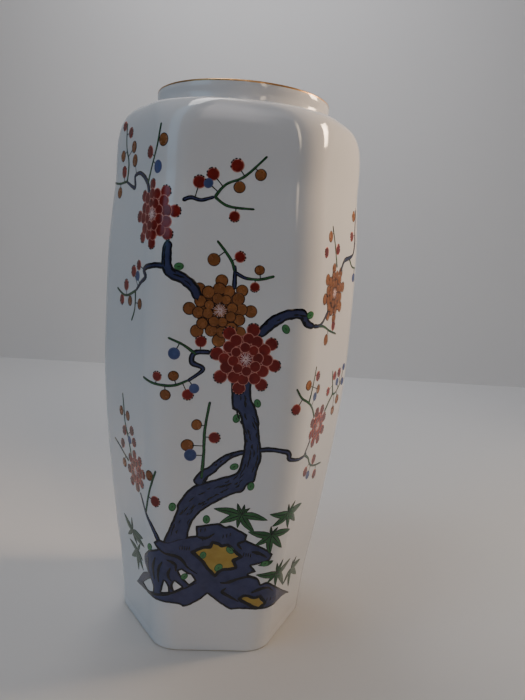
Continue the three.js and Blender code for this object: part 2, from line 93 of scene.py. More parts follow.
FOOT_APOTHEM = ring_apothems("foot_ring")[1][1]
STRAIGHT_RINGS = [ring for ring in ring_apothems("body_wall") if ring[0] <= SHOULDER_START]
BELLY = np.array([(0, FOOT_APOTHEM), *STRAIGHT_RINGS])

# ---- the hexagonal form ----


def hermite(start, leave, end, arrive, t):
    """The smooth curve from start to end that leaves and arrives along the given spans."""
    return (
        start * (2 * t**3 - 3 * t**2 + 1)
        + leave * (t**3 - 2 * t**2 + t)
        + end * (3 * t**2 - 2 * t**3)
        + arrive * (t**3 - t**2)
    )


def smooth_through(stations, place):
    """Smooth values through (place, value) stations; each slope is the mean of its neighbours'."""
    at, value = stations.T
    secant = np.diff(value) / np.diff(at)
    slope = (np.concatenate([secant[:1], secant]) + np.concatenate([secant, secant[-1:]])) / 2
    i = np.clip(np.searchsorted(at, place) - 1, 0, len(secant) - 1)
    step = at[i + 1] - at[i]
    return hermite(value[i], slope[i] * step, value[i + 1], slope[i + 1] * step, (place - at[i]) / step)


def section(height, inset=0, top_radius=NECK_RADIUS, top_height=SHOULDER_TOP):
    """Apothem and corner radius of the wall at these heights, on the outside or inset from it."""
    height = np.asarray(height, float)
    belly = smooth_through(BELLY, np.minimum(height, SHOULDER_START))
    start = np.minimum(belly, BELLY[:, 1].max()) - inset
    rise = np.clip((height - SHOULDER_START) / (top_height - SHOULDER_START), 0, 1)
    cosine = np.sqrt(1 - rise ** (2 / SHOULDER_POWER))
    apothem = top_radius + (start - top_radius) * cosine**SHOULDER_POWER
    fraction = CORNER + (NEARLY_ROUND - CORNER) * (1 - cosine**ROUNDING_POWER)
    return apothem, apothem * fraction


def reach(apothem, corner, turned):
    """How far a section reaches along the direction turned from a face's normal."""
    return (apothem - corner) * np.cos(turned - HALF_SIXTH) / math.cos(HALF_SIXTH) + corner


def on_wall(s, height, lift):
    """Points of the decorated surface, lift millimetres in front of the glaze."""
    apothem, corner = section(height)
    flat = (apothem - corner) * math.tan(HALF_SIXTH)
    pitch = 2 * flat + corner * SIXTH
    face = np.round(s / pitch)
    along = s - face * pitch
    side = np.where(along < 0, -1, 1)
    turned = np.maximum(np.abs(along) - flat, 0) / corner
    normal = face * SIXTH + side * turned
    out = apothem - corner + corner * np.cos(turned)
    across = side * (np.minimum(np.abs(along), flat) + corner * np.sin(turned))
    turn = face * SIXTH
    x = out * np.sin(turn) + across * np.cos(turn)
    y = -out * np.cos(turn) + across * np.sin(turn)
    probe = 0.05
    slope = (reach(apothem, corner, turned) - reach(*section(height - probe), turned)) / probe
    scale = lift / np.hypot(1, slope)
    return np.stack([x + np.sin(normal) * scale, y - np.cos(normal) * scale, height - slope * scale], 1)


# ---- meshes ----

COLUMNS = 288                 # points round each ring of the porcelain
CREASE = math.radians(55)     # faces that meet at more than this show an edge


def add_object(name, data):
    """A new object in the scene."""
    thing = bpy.data.objects.new(name, data)
    bpy.context.scene.collection.objects.link(thing)
    return thing


def new_mesh(name, points, faces, material):
    """A mesh of one material."""
    mesh = bpy.data.meshes.new(name)
    mesh.from_pydata(points, [], faces)
    mesh.materials.append(material)
    return mesh


def make_piece(name, points, faces, material, nodes=(), marks=None):
    """A closed mesh from points in millimetres, with its marks as attributes for the shader."""
    mesh = new_mesh(name, (points * MM).tolist(), faces, material)
    for key, values in (marks or {}).items():
        mesh.attributes.new(key, "FLOAT", "POINT").data.foreach_set("value", values)
    mesh.polygons.foreach_set("use_smooth", [True] * len(mesh.polygons))
    mesh.set_sharp_from_angle(angle=CREASE)
    piece = add_object(name, mesh)
    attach(piece, "root")
    if nodes:
        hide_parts(*nodes)


def hexagon_ring(apothem, corner, height):
    """One level ring of COLUMNS points, evenly turned about the axis."""
    turned = np.arange(COLUMNS) * 2 * math.pi / COLUMNS
    face = np.round(turned / SIXTH) * SIXTH
    off_face = np.abs(turned - face)
    centre = (apothem - corner) / math.cos(HALF_SIXTH)
    off_corner = np.minimum(off_face, HALF_SIXTH) - HALF_SIXTH
    chord = np.sqrt(np.maximum(corner**2 - (centre * np.sin(off_corner)) ** 2, 0))
    on_flat = apothem * np.tan(off_face) <= centre * math.sin(HALF_SIXTH)
    radius = np.where(on_flat, apothem / np.cos(off_face), centre * np.cos(off_corner) + chord)
    return np.stack([radius * np.sin(turned), -radius * np.cos(turned), np.full(COLUMNS, height)], 1)


def strip_faces(rows, columns, closed=False):
    """Quads between rings of points, and from the last ring to the first one if closed."""
    faces = []
    for row in range(rows if closed else rows - 1):
        low, high = row * columns, (row + 1) % rows * columns
        for column in range(columns):
            after = (column + 1) % columns
            faces.append((low + column, low + after, high + after, high + column))
    return faces


def ring_of_clay(name, rings, material, nodes):
    """A closed ring-shaped piece from its (apothem, corner, height) rings, outside first, upwards."""
    points = np.concatenate([hexagon_ring(*ring) for ring in rings])
    make_piece(name, points, strip_faces(len(rings), COLUMNS, closed=True), material, nodes)


def shoulder_heights(top_height):
    """Heights over the shoulder, close together where it turns in to the ledge."""
    low_part = np.linspace(0, 0.84, 20)
    cosine_power = (1 - low_part[-1] ** (2 / SHOULDER_POWER)) ** (SHOULDER_POWER / 2)
    cosine = np.linspace(cosine_power, 0.02, 36)[1:] ** (1 / SHOULDER_POWER)
    high_part = (1 - cosine**2) ** (SHOULDER_POWER / 2)
    return SHOULDER_START + (top_height - SHOULDER_START) * np.concatenate([low_part[1:], high_part])


def round_ring(radius, height):
    """A ring that is as good as round, as a hexagon whose corners take nearly all of it."""
    return (radius, radius * 0.999, height)


def vase_wall(material):
    """The outside with its shoulder and neck, over the lip and down the inside to the floor."""
    outside_heights = [*np.linspace(FOOT_HEIGHT, SHOULDER_START, 80), *shoulder_heights(SHOULDER_TOP)]
    outside = [(*section(height), height) for height in outside_heights]
    rise = LIP_BOTTOM - NECK_BOTTOM
    waist = NECK_RADIUS - 0.85
    ledge = SHOULDER_TOP - WALL
    neck = [
        (NECK_RADIUS - 0.15, SHOULDER_TOP + 0.12),
        (NECK_RADIUS - 0.4, SHOULDER_TOP + 0.45),
        (NECK_RADIUS - 0.65, SHOULDER_TOP + 1.0),
        (waist, NECK_BOTTOM + 0.27 * rise),
        (waist - 0.08, NECK_BOTTOM + 0.42 * rise),
        (waist + 0.06, NECK_BOTTOM + 0.55 * rise),
        (LIP_RADIUS - 0.12, NECK_BOTTOM + 0.68 * rise),
        (LIP_RADIUS, NECK_BOTTOM + 0.8 * rise),
        (LIP_RADIUS, NECK_BOTTOM + 0.92 * rise),
        (LIP_RADIUS - 0.1, LIP_BOTTOM + 0.1),
        (NECK_BORE + 0.2, LIP_BOTTOM + 0.1),
        (NECK_BORE + 0.05, NECK_BOTTOM + 0.9 * rise),
        (NECK_BORE, NECK_BOTTOM + 0.5 * rise),
        (NECK_BORE, NECK_BOTTOM),
        (NECK_BORE, ledge + 1.5),
    ]
    inside_heights = [*np.linspace(FOOT_HEIGHT, SHOULDER_START, 40), *shoulder_heights(ledge)]
    inside = [(*section(height, WALL, NECK_BORE, ledge), height) for height in reversed(inside_heights)]
    rings = [*outside, *(round_ring(*ring) for ring in neck), *inside]
    ring_of_clay("vase_wall", rings, material, ["body_wall", "neck_collar"])


def foot_rim(material):
    """The ring that the vase stands on, glazed outside and bare where it touches the table."""
    outer_edge = [(1.0, 0), (0.6, 0.06), (0.28, 0.24), (0.08, 0.55), (0, 1.0)]
    upright = [(0, height) for height in np.linspace(1.8, FOOT_HEIGHT, 6)]
    inner = [(WALL, FOOT_HEIGHT), (WALL, 4.0)]
    inner_edge = [(WALL - 0.05, 1.2), (WALL - 0.3, 0.5), (WALL - 0.8, 0.1), (WALL - 1.3, 0)]
    rings = []
    for inset, height in [*outer_edge, *upright, *inner, *inner_edge]:
        apothem, corner = section(height)
        rings.append((apothem - inset, corner - inset, height))
    ring_of_clay("foot_rim", rings, material, ["foot_ring"])


def vase_floor(material):
    """The slab that closes the bottom, with a small hollow curve up to the wall."""
    apothem, corner = section(FLOOR_LOW, WALL)
    below = [(0.04, 0), (0.5, 0), (0.9, 0), (0.985, 0), (0.998, 0.25)]
    above = [(0.998, 1.3), (0.985, 0.55), (0.96, 0.15), (0.9, 0.02), (0.5, -0.12), (0.04, -0.15)]
    rings = [(apothem * part, corner * part, FLOOR_LOW + rise) for part, rise in below]
    rings += [(apothem * part, corner * part, FLOOR_HIGH + rise) for part, rise in above]
    points = np.concatenate([hexagon_ring(*ring) for ring in rings])
    faces = strip_faces(len(rings), COLUMNS)
    faces.append(tuple(reversed(range(COLUMNS))))
    faces.append(tuple(range((len(rings) - 1) * COLUMNS, len(rings) * COLUMNS)))
    make_piece("vase_floor", points, faces, material, ["base_floor"])


def lip_gold(material):
    """The gilded top of the lip: a thin rounded bead."""
    profile = [
        (LIP_RADIUS - 0.15, 0), (LIP_RADIUS - 0.02, 0.08), (LIP_RADIUS - 0.03, 0.35),
        (LIP_RADIUS - 0.2, 0.68), (LIP_RADIUS - 0.6, 0.9), (LIP_RADIUS - 1.3, 1.0),
        (NECK_BORE + 1.4, 1.0), (NECK_BORE + 0.7, 0.86), (NECK_BORE + 0.3, 0.55), (NECK_BORE + 0.12, 0.1),
        (NECK_BORE + 0.3, 0),
    ]
    scale = HEIGHT - LIP_BOTTOM
    rings = [round_ring(radius, LIP_BOTTOM + rise * scale) for radius, rise in profile]
    ring_of_clay("lip_gold", rings, material, ["lip_gilding"])


# ---- touches of enamel, drawn flat ----

ENAMEL, INK, PALE = 0, 1, 2      # what a touch is painted with
UNDER = -0.06                    # the edge of a touch lies a hair under the glaze
SKIN = 0.02                      # and rises within the hem to this, at the least
HEM = 0.1
DOME = 0.08                      # how far a touch swells above that
PETAL = 0.03                     # the same for a petal, flat enough for the next one's rim to show
SHARP = math.radians(48)         # an outline that turns by more than this keeps a point there
GRAIN = 0.9                      # how far apart the points inside a plate lie


def smooth_line(points, step=0.6, closed=False):
    """Points along a smooth curve through the given ones, and how far along each one is, 0 to 1."""
    points = np.array(points, float)
    before, after = (points[-1:], points[:2]) if closed else (points[:1], points[-1:])
    padded = np.concatenate([before, points, after])
    leave = (padded[2:] - padded[:-2]) / 2
    arrive = leave.copy()
    if closed:
        steps = np.diff(padded, axis=0)
        turn = np.arctan2(steps[:, 1], steps[:, 0])
        bend = np.abs((turn[1:] - turn[:-1] + math.pi) % (2 * math.pi) - math.pi)
        pointed = bend > SHARP
        leave[pointed] = steps[1:][pointed]
        arrive[pointed] = steps[:-1][pointed]
    spans = len(padded) - 3
    line, way = [], []
    for i in range(spans):
        start, end = padded[i + 1], padded[i + 2]
        count = max(2, math.ceil(norm(end - start) / step))
        t = np.arange(count)[:, None] / count
        line.append(hermite(start, leave[i], end, arrive[(i + 1) % len(arrive)], t))
        way.append((i + t[:, 0]) / spans)
    if not closed:
        line.append(points[-1:])
        way.append([1.0])
    return np.concatenate(line), np.concatenate(way)


def run_along(line):
    """How far along a line each of its points is."""
    return np.concatenate([[0], np.cumsum(norm(np.diff(line, axis=0), axis=1))])


def sideways(line):
    """The direction to the left of a line at each of its points."""
    along = np.gradient(line, axis=0)
    along /= norm(along, axis=1)[:, None]
    return np.column_stack([-along[:, 1], along[:, 0]])


def width_at(way, widths):
    """The width of a stroke at parts of its way, from widths spread evenly along it."""
    return np.interp(way * (len(widths) - 1), np.arange(len(widths)), widths)


def wobble(run):
    """A gentle irregular wave along a brush stroke, between about -1 and 1."""
    phases = between(0, 2 * math.pi, 3)
    return sum(
        size * np.sin(run / length + phase)
        for size, length, phase in zip((0.5, 0.35, 0.25), (2.3, 0.9, 0.45), phases)
    )


class Layer:
    """Touches of one enamel. Each is kept flat as (s, height, lift) until the layer is fired."""

    def __init__(self):
        self.points, self.faces, self.marks = [], [], []
        self.count = 0

    def add(self, places, lift, faces, edge, kind, tone=None):
        """Adds one touch, whose tone is drawn by chance if it isn't given."""
        self.points.append(np.column_stack([places, np.broadcast_to(lift, len(places))]))
        self.faces += [tuple(index + self.count for index in face) for face in faces]
        tone = np.full(len(places), chance.random() * 0.6 if tone is None else tone)
        edge = np.broadcast_to(edge, len(places))
        self.marks.append(np.column_stack([edge, np.full(len(places), kind), tone]))
        self.count += len(places)

    def stroke(self, points, widths, base=0.0, kind=ENAMEL, rough=0.0, dome=DOME, outline=0.0):
        """A brush stroke with rounded ends, whose widths are spread along its length.

        A rim line that is outline wide narrows with the stroke, so that colour shows between its two.
        """
        line, way = smooth_line(points)
        side = sideways(line)
        run = run_along(line)
        half = width_at(way, widths) / 2
        to_end = np.minimum(run, run[-1] - run)
        half = half * np.sqrt(1 - (1 - np.clip(to_end / half, 0.012, 1)) ** 2)
        left, right = (half * (1 + rough * wobble(run)) for _ in range(2))
        rim = np.maximum(1 - HEM / half, 0.7)[:, None]
        right_side = np.concatenate([rim * [0, 0.4, 0.8, 1], np.ones_like(rim)], 1)
        across = np.concatenate([-right_side[:, :0:-1], right_side], 1)
        reach_out = np.where(across < 0, left[:, None], right[:, None]) * across
        places = line[:, None] + side[:, None] * reach_out[:, :, None]
        lift = np.where(np.abs(across) == 1, UNDER, base + SKIN + dome * np.sqrt(1 - across**2))
        edge = np.minimum((1 - np.abs(across)) * half[:, None], to_end[:, None] + 0.05)
        edge = edge * np.maximum(1, outline / (0.7 * half))[:, None]
        size = across.shape[1]
        faces = [tuple(range(size)), tuple(reversed(range((len(line) - 1) * size, len(line) * size)))]
        for row in range(0, (len(line) - 1) * size, size):
            for column in range(row, row + size - 1):
                faces.append((column, column + size, column + size + 1, column + 1))
            faces.append((row, row + size - 1, row + 2 * size - 1, row + size))
        self.add(places.reshape(-1, 2), lift.ravel(), faces, edge.ravel(), kind)

    def ink(self, points, widths, base, rough=0.0):
        """A dark brush line on top of what is painted at this base."""
        self.stroke(points, widths, base + SKIN + DOME, INK, rough, 0.03)

    def disc(self, centre, radius, base=0.0, kind=ENAMEL, dome=DOME, sides=22, stretch=1.0, turn=0.0,
             tone=None):
        """A round or oval dot, made of rings that are smaller parts of its rim."""
        parts = np.array([1, 1 - HEM / radius, 0.78, 0.5, 0.2] if radius > 0.6 else [1, 0.8, 0.4])
        angle = np.arange(sides) * 2 * math.pi / sides
        x = np.cos(angle) * stretch
        y = np.sin(angle)
        circle = radius * np.column_stack([
            x * math.cos(turn) - y * math.sin(turn),
            x * math.sin(turn) + y * math.cos(turn),
        ])
        rings = parts[:, None, None] * circle + np.array(centre)
        places = np.concatenate([rings.reshape(-1, 2), [centre]])
        lift = np.concatenate([
            np.repeat(np.where(parts == 1, UNDER, base + SKIN + dome * np.sqrt(1 - parts**2)), sides),
            [base + SKIN + dome],
        ])
        edge = np.concatenate([np.repeat(radius * (1 - parts), sides), [radius]])
        faces = [tuple(reversed(range(sides))), *strip_faces(len(parts), sides)]
        last = (len(parts) - 1) * sides
        faces += [(last + column, last + (column + 1) % sides, last + sides) for column in range(sides)]
        self.add(places, lift, faces, edge, kind, tone)

    def plate(self, outline, holes=(), base=0.0, rough=0.0):
        """A filled shape with holes, whose edge may be a little uneven."""
        loops = []
        for loop in (outline, *holes):
            line = smooth_line(loop, 0.7, closed=True)[0]
            loops.append(line + sideways(line) * rough * wobble(run_along(line))[:, None])
        corners = np.concatenate(loops)
        starts = np.cumsum([0, *map(len, loops)])
        edges = []
        for start, loop in zip(starts, loops):
            edges += [(start + i, start + (i + 1) % len(loop)) for i in range(len(loop))]
        ends = corners[np.array(edges)]
        columns_and_rows = (np.arange(a, b, GRAIN) for a, b in zip(corners.min(0), corners.max(0)))
        grid = np.stack(np.meshgrid(*columns_and_rows), -1).reshape(-1, 2)
        grid = grid + between(-0.2, 0.2, grid.shape) * GRAIN
        grid = grid[inside_loops(grid, ends) & (distance_to(grid, ends) > 0.45 * GRAIN)]
        sites = [Vector(place) for place in np.concatenate([corners, grid])]
        found, _, triangles, *_ = delaunay_2d_cdt(sites, edges, [], 0, 1e-5)
        places = np.array([tuple(place) for place in found])
        middles = places[np.array(triangles)].mean(1)
        triangles = [face for face, kept in zip(triangles, inside_loops(middles, ends)) if kept]
        triangles = [facing_up(places, face) for face in triangles]
        distance = distance_to(places, ends)
        top = base + SKIN + DOME * np.sqrt(np.clip(distance / 1.2, 0, 1))
        count = len(places)
        sides = {edge for face in triangles for edge in zip(face, (*face[1:], face[0]))}
        walls = [(a, a + count, b + count, b) for a, b in sides if (b, a) not in sides]
        bottom = [tuple(index + count for index in reversed(face)) for face in triangles]
        self.add(
            np.concatenate([places, places]),
            np.concatenate([top, np.full(count, 2 * UNDER)]),
            [*triangles, *bottom, *walls],
            np.concatenate([distance, distance]),
            ENAMEL,
        )

    def fire(self, name, enamel, node=None):
        """Bends the layer onto the front of the wall, and once more onto the back."""
        front = on_wall(*np.concatenate(self.points).T)
        values = np.concatenate(self.marks).astype(np.float32).T.copy()
        marks = dict(zip(("edge", "kind", "tone"), values))
        for side, sign in (("front", 1), ("back", -1)):
            points = front * (sign, sign, 1)
            nodes = [f"{side}_{node}"] if node else ()
            make_piece(f"{side}_{name}_enamel", points, self.faces, ENAMELS[enamel], nodes, marks)


def distance_to(places, ends):
    """The distance from each place to the nearest of the segments."""
    start, span = ends[:, 0], ends[:, 1] - ends[:, 0]
    away = places[:, None] - start
    part = np.clip((away * span).sum(2) / (span**2).sum(1), 0, 1)
    return norm(away - part[:, :, None] * span, axis=2).min(1)


def inside_loops(places, ends):
    """Whether each place is inside the outline and outside its holes."""
    x, y = places[:, :1], places[:, 1:]
    (x0, y0), (x1, y1) = ends[:, 0].T, ends[:, 1].T
    crosses = (y0 > y) != (y1 > y)
    rise = np.where(y1 == y0, 1, y1 - y0)
    return ((x < x0 + (y - y0) * (x1 - x0) / rise) & crosses).sum(1) % 2 == 1


def facing_up(places, face):
    """The same triangle, listed against the clock."""
    a, b, c = places[list(face)]
    turn = (b[0] - a[0]) * (c[1] - a[1]) - (b[1] - a[1]) * (c[0] - a[0])
    return tuple(face) if turn > 0 else tuple(reversed(face))


# ---- the picture ----

# Each blossom: name, centre, radius, enamel, whether it is double, turn of its petals, base.
BLOSSOMS = [
    ("blossom_gold_main", (-5.3, 155.6), 14.4, "brown_gold", True, 0.0, 0.0),
    ("blossom_red_main", (6, 137), 14.6, "iron_red", True, -0.14, 0.1),
    ("blossom_red_high", (-36, 190.5), 13.8, "iron_red", True, 0.1, 0.0),
    ("blossom_gold_right", (54, 164), 13.4, "brown_gold", True, 0.2, 0.0),
    ("blossom_red_left", (-44, 81.5), 9.6, "iron_red", False, 0.2, 0.0),
    ("blossom_red_right", (50, 105.3), 10, "iron_red", False, 0.35, 0.0),
]

# The trunk: its outline, and the line and widths that its bark marks follow.
TRUNK_OUTLINE = [
    (0.8, 129), (1.4, 121), (1.8, 116.4), (4.8, 114.6), (6.8, 108.5), (7.8, 99.2), (6.4, 91),
    (4.6, 88.4), (-1.6, 86), (-11.8, 82), (-17.8, 74), (-18.4, 69.6), (-22.8, 57), (-24, 52), (-13, 52),
    (-12, 63), (-8, 70.2), (2.8, 78), (8.6, 80.2), (10.6, 83.6), (13.4, 85.4), (14.2, 90), (15.4, 96.6),
    (13.6, 108), (13.2, 111.8), (11.2, 118.2), (9.4, 121.6), (8.8, 129.4),
]
TRUNK_LINE = [
    (5, 124), (6.8, 115), (10.3, 107), (11.4, 98), (10, 90), (4.5, 83.5), (-3, 79.6), (-9, 76),
    (-14, 69), (-16.6, 62), (-18, 55),
]
TRUNK_WIDTHS = [7.6, 8, 6.6, 7, 7.6, 8, 8.6, 9.4, 9.6, 9.6, 10.4]
# What grows, as strokes of (points, widths): the wood is blue, and the young twigs are green.
WOOD = {
    "plum_trunk": [
        ([(-10.5, 82.5), (-7.6, 87.4), (-4.8, 89.6), (-1.2, 93.4), (3, 96.4), (8.6, 98.4)],
         [5.6, 4.6, 4.2, 3.6, 2.8, 2.4]),
    ],
    "branch_high_left": [
        ([(-27, 171.3), (-34, 171), (-40.3, 169), (-38.5, 166.2), (-43, 163.5), (-47.5, 160)],
         [2.8, 2.4, 2.4, 2.4, 1.7, 1.4]),
        ([(-26.5, 181), (-27.3, 174), (-26, 169.5), (-20, 167), (-15.5, 163), (-14, 159)],
         [3.8, 4.6, 4.8, 4.4, 4.4, 3.6]),
    ],
    "branch_right": [
        ([(34, 151.2), (40, 151.3), (45, 154), (49, 158)], [2.2, 1.6, 1.8, 2]),
        ([(10.5, 146.5), (15, 151.8), (21, 155.6), (27.5, 156), (30, 152.5), (34.5, 151.2)],
         [4, 4.6, 4.4, 4.2, 3.4, 2.6]),
    ],
    "branch_low_right": [
        ([(38, 94.6), (43, 100.5)], [1.6, 1.6]),
        ([(13.8, 99), (18, 99.8), (22, 99.4), (26, 98.5), (27.4, 97), (27.6, 95.4), (31, 94.3),
          (36.5, 94.2), (40.5, 95)], [2, 2.5, 2.2, 2.4, 2.6, 2.2, 1.8, 1.6, 1.3]),
    ],
    "branch_low_left": [([(-39.5, 73), (-34, 65.5), (-29.5, 60.5), (-25.5, 54.5)], [1.6, 1.9, 2.2, 2.8])],
    "twig_top_left": [
        ([(-40, 198), (-43, 203.3), (-50, 207), (-56, 206.3), (-55.5, 201.5), (-65, 204.5)],
         [2.8, 2.4, 1.8, 1.8, 2, 1.2]),
    ],
    "twig_top_right": [([(-22, 196.2), (-19, 197.6), (-15, 197), (-10, 198.5)], [1.9, 1.7, 1.6, 1.3])],
    "twig_above_gold": [
        ([(-0.3, 164), (-0.4, 169), (-0.6, 173.5)], [2.1, 1.8, 1]),
        ([(-0.4, 170.8), (3.4, 168.9), (7.5, 168.5)], [1.5, 1.4, 0.9]),
    ],
    "twig_left_middle": [
        ([(-8, 139), (-14, 138.4), (-15, 134.5), (-10.5, 132), (-16.5, 126.8)],
         [2.2, 2.2, 2.5, 1.9, 1.2]),
    ],
    "twig_high_right": [
        ([(60, 173), (64, 178), (70, 179.2), (75.5, 181), (77.3, 186), (76.6, 194), (76.5, 202)],
         [2, 2.2, 2, 1.6, 1.6, 1.3, 1.1]),
    ],
}
YOUNG_TWIGS = {
    "plum_trunk": [([(-7, 119), (-8.4, 107), (-8.3, 97), (-8.6, 85.5)], [1.1, 1.3, 1.4, 1.7])],
    "branch_high_left": [
        ([(-47.5, 160), (-56, 157.2), (-62, 157.2), (-68.3, 159.3)], [1.3, 1.2, 1.1, 1]),
        ([(-48, 160), (-48, 152.5), (-51, 147)], [1.2, 1.1, 1.1]),
    ],
    "branch_right": [([(39, 151), (45, 150.2), (52, 148), (61, 145.8)], [1.2, 1.3, 1.1, 1])],
    "branch_low_right": [
        ([(38, 95), (43.5, 91.8), (47, 87.8), (53, 85.2), (62.5, 83.8)], [1.6, 1.4, 1.2, 1.1, 0.9]),
    ],
    "branch_low_left": [([(-33.8, 65.5), (-31.5, 76), (-28, 87.2)], [1.4, 1.2, 1.1])],
    "twig_top_left": [
        ([(-65, 204.5), (-73, 204), (-82, 205)], [1.3, 1.1, 0.9]),
        ([(-64.6, 204), (-63.6, 212), (-66.6, 219), (-67.3, 229)], [1.5, 1.2, 1, 0.9]),
        ([(-42.3, 202.5), (-40, 208), (-35.6, 216.5), (-33.6, 225)], [1.6, 1.2, 1.1, 1.1]),
    ],
    "twig_top_right": [
        ([(-10, 198.3), (-6, 203.4), (1, 207), (9, 215)], [1.3, 1.1, 1.1, 0.9]),
        ([(-10, 198.6), (-4.5, 195.4), (5.5, 195)], [1.3, 1.1, 0.9]),
    ],
    "twig_above_gold": [
        ([(-0.6, 171), (-2.4, 175.6), (-8, 182.3)], [1.1, 1.3, 1]),
        ([(4, 168.8), (9, 168.6), (15, 170.3)], [1, 1.2, 1.1]),
    ],
    "twig_left_middle": [
        ([(-25, 143.7), (-19, 141.4), (-13.5, 137.8)], [1, 1.1, 1.4]),
        ([(-37, 126), (-30, 124.5), (-22, 124.7), (-16.2, 127.2)], [1, 1.2, 1.2, 1.1]),
    ],
    "twig_low_left": [
        ([(-49, 87), (-52, 94), (-56, 101), (-57.3, 107), (-58.8, 114)], [1.6, 1.4, 1.2, 1.2, 1]),
    ],
    "twig_far_left": [([(-52, 83.6), (-56, 84.8), (-62, 87.3), (-69, 89.6)], [1.4, 1.2, 1.1, 0.9])],
    "twig_high_right": [
        ([(71, 179), (75.5, 175.6), (80.5, 175)], [1.3, 1.1, 0.9]),
        ([(55, 175), (51, 183.5), (46.5, 192)], [1.3, 1.1, 0.9]),
    ],
    "twig_above_right": [
        ([(44.5, 110.5), (40, 116), (35, 119.4), (31, 121.6), (27.8, 125.8)], [1.6, 1.4, 1.2, 1.1, 1]),
        ([(36, 119), (38.3, 126), (40.3, 134)], [1.2, 1, 0.9]),
    ],
    "twig_far_right": [
        ([(57, 110.5), (61, 114), (65, 117.6), (63.6, 122.5), (61.8, 129)], [1.6, 1.5, 1.5, 1.1, 0.9]),
        ([(65, 117.4), (69, 117.2), (74.5, 120.5)], [1.5, 1.1, 0.9]),
    ],
}

# Buds: (s, height, radius), by enamel, in the order they are laid.
BUDS = {
    "brown_gold": [
        (-11.8, 109, 2.4), (-15.1, 100, 2.7), (-53.5, 155.1, 2.3), (-43.2, 154.8, 2.4),
        (48.6, 144.3, 2.6), (-31.6, 84, 2.5), (-31.8, 218.6, 2.6), (-58.4, 218.2, 2.6),
        (-57, 212.6, 2.7), (-70.2, 215.4, 2.5), (-72, 200, 2.6), (7, 208, 2.4), (-0.8, 202.8, 2.4),
        (-8.8, 175, 2.6), (9, 172.2, 2.1), (-22, 128.6, 2.3), (-25, 120.6, 2.4), (-60.4, 105.3, 2.4),
        (-53, 104.8, 2.4), (-57.2, 81, 2.5), (73.8, 198, 2.6), (44.8, 187.5, 2.5), (34.7, 126.6, 2.3),
        (45, 123.4, 2.2), (73, 113.4, 2.5), (68.4, 108.8, 2.4),
    ],
    "iron_red": [
        (-4.4, 103.8, 2.5), (-50.5, 167.5, 2.6), (-45.4, 170.3, 2.2), (-58, 161.2, 2.6),
        (-62.3, 154.9, 2.4), (56.4, 149.8, 2.3), (51.4, 88.7, 2.5), (42.4, 85.6, 2.4),
        (55.2, 80.3, 2.4), (-28, 73, 2.6), (-41.5, 214.6, 2.6), (-62.6, 224.4, 2.4),
        (-68.2, 208.6, 2.6), (-69.5, 228, 2.2), (-2, 210.7, 2.7), (-11, 206.9, 2.5), (-16, 203.6, 2.6),
        (-2, 191.8, 2.2), (1.1, 176.7, 2.3), (7.6, 165.6, 2), (-12, 143, 2.4), (-29, 127.6, 2.2),
        (-16, 121.4, 2.4), (-56.6, 97, 2.4), (-48.6, 99, 2.3), (-46, 94.4, 2.3), (-59, 90, 2.3),
        (72.7, 189, 2.3), (41, 181, 2.3), (54.5, 182.6, 2.4), (28.6, 117, 2.4), (43, 129.4, 2.3),
        (58.6, 119.8, 2.2), (65.4, 126, 2.2), (71.5, 126.6, 2.3),
    ],
    "blue": [
        (-13.7, 95.8, 2.7), (-46.4, 166, 2.1), (46.2, 82.6, 2.3), (-34.5, 208.7, 2.6),
        (-12.6, 203.4, 2), (-22.2, 137.6, 2.5), (-13.6, 124, 2.1), (-51, 94, 1.9), (79, 170.5, 2.2),
        (41.8, 120.6, 2.1), (69.8, 122.5, 2), (77.5, 121.5, 2), (77.5, 128.5, 1.8),
    ],
}

MOSS = [
    (-22, 171.5), (31.5, 155.8), (21, 150), (12, 119.3), (4, 112.5), (4.5, 91.5), (12, 83), (-20, 72),
    (-5.5, 66.8), (21, 46), (-31, 49.5), (-6, 49.5), (5.5, 52.5), (1, 43.5), (-13.5, 38.5),
]

ROCK_OUTLINE = [
    (-46.6, 22), (-38.2, 32), (-33, 35), (-36, 39), (-36, 43), (-31.6, 47.6), (-26, 50.4), (-28.4, 53),
    (-25.6, 55.8), (-22, 55.2), (-16.4, 57.6), (-9.4, 59), (-9.8, 63.6), (-0.8, 65.2), (2.6, 63.8),
    (5.4, 64.2), (12.4, 60.2), (11.8, 57.6), (20, 54), (24.4, 50.2), (23, 47.2), (15.2, 45), (17.4, 42),
    (14.2, 40.4), (18.2, 39), (20, 35.4), (24, 35.6), (33.5, 28), (48.6, 17), (40, 20.4), (28.2, 21.3),
    (12.6, 22.5), (6.4, 22.5), (-3, 29.9), (-7, 26), (-13, 22.9), (-16.6, 24.2), (-33.4, 23.4),
]
ROCK_GAPS = [
    [(-38.4, 26.2), (-35, 29.4), (-30.2, 33.2), (-28.4, 30), (-28.6, 27), (-33.4, 25.2)],
    [(-22.2, 35.2), (-23.6, 29), (-20.2, 30.1), (-20.8, 33)],
    [(-17.6, 35.8), (-18.4, 33.4), (-17.6, 31), (-14.4, 33)],
    [(-16, 41.2), (-14.8, 41.8), (-12.2, 39.8), (-10.6, 39.6), (-9, 36.8), (-11.2, 34.6), (-13.2, 37),
     (-15, 39)],
]
ROCK_HOLLOWS = {
    "rock_hollow_star": [
        (-10.6, 51), (-5.8, 53.1), (-3, 53.4), (-2.2, 55.8), (0, 55.4), (1.6, 54.2), (4.4, 54.8),
        (7, 52), (10.3, 49.4), (7, 47.4), (8.2, 44), (6.4, 43.3), (2.2, 42.5), (-0.3, 39.5), (-3, 42.6),
        (-6, 46.6),
    ],
    "rock_hollow_low": [
        (11.2, 27.6), (13, 29.2), (15.4, 29), (17.6, 28.3), (20.2, 28.9), (23, 24.8), (20.2, 22.9),
        (16.6, 24.4),
    ],
}

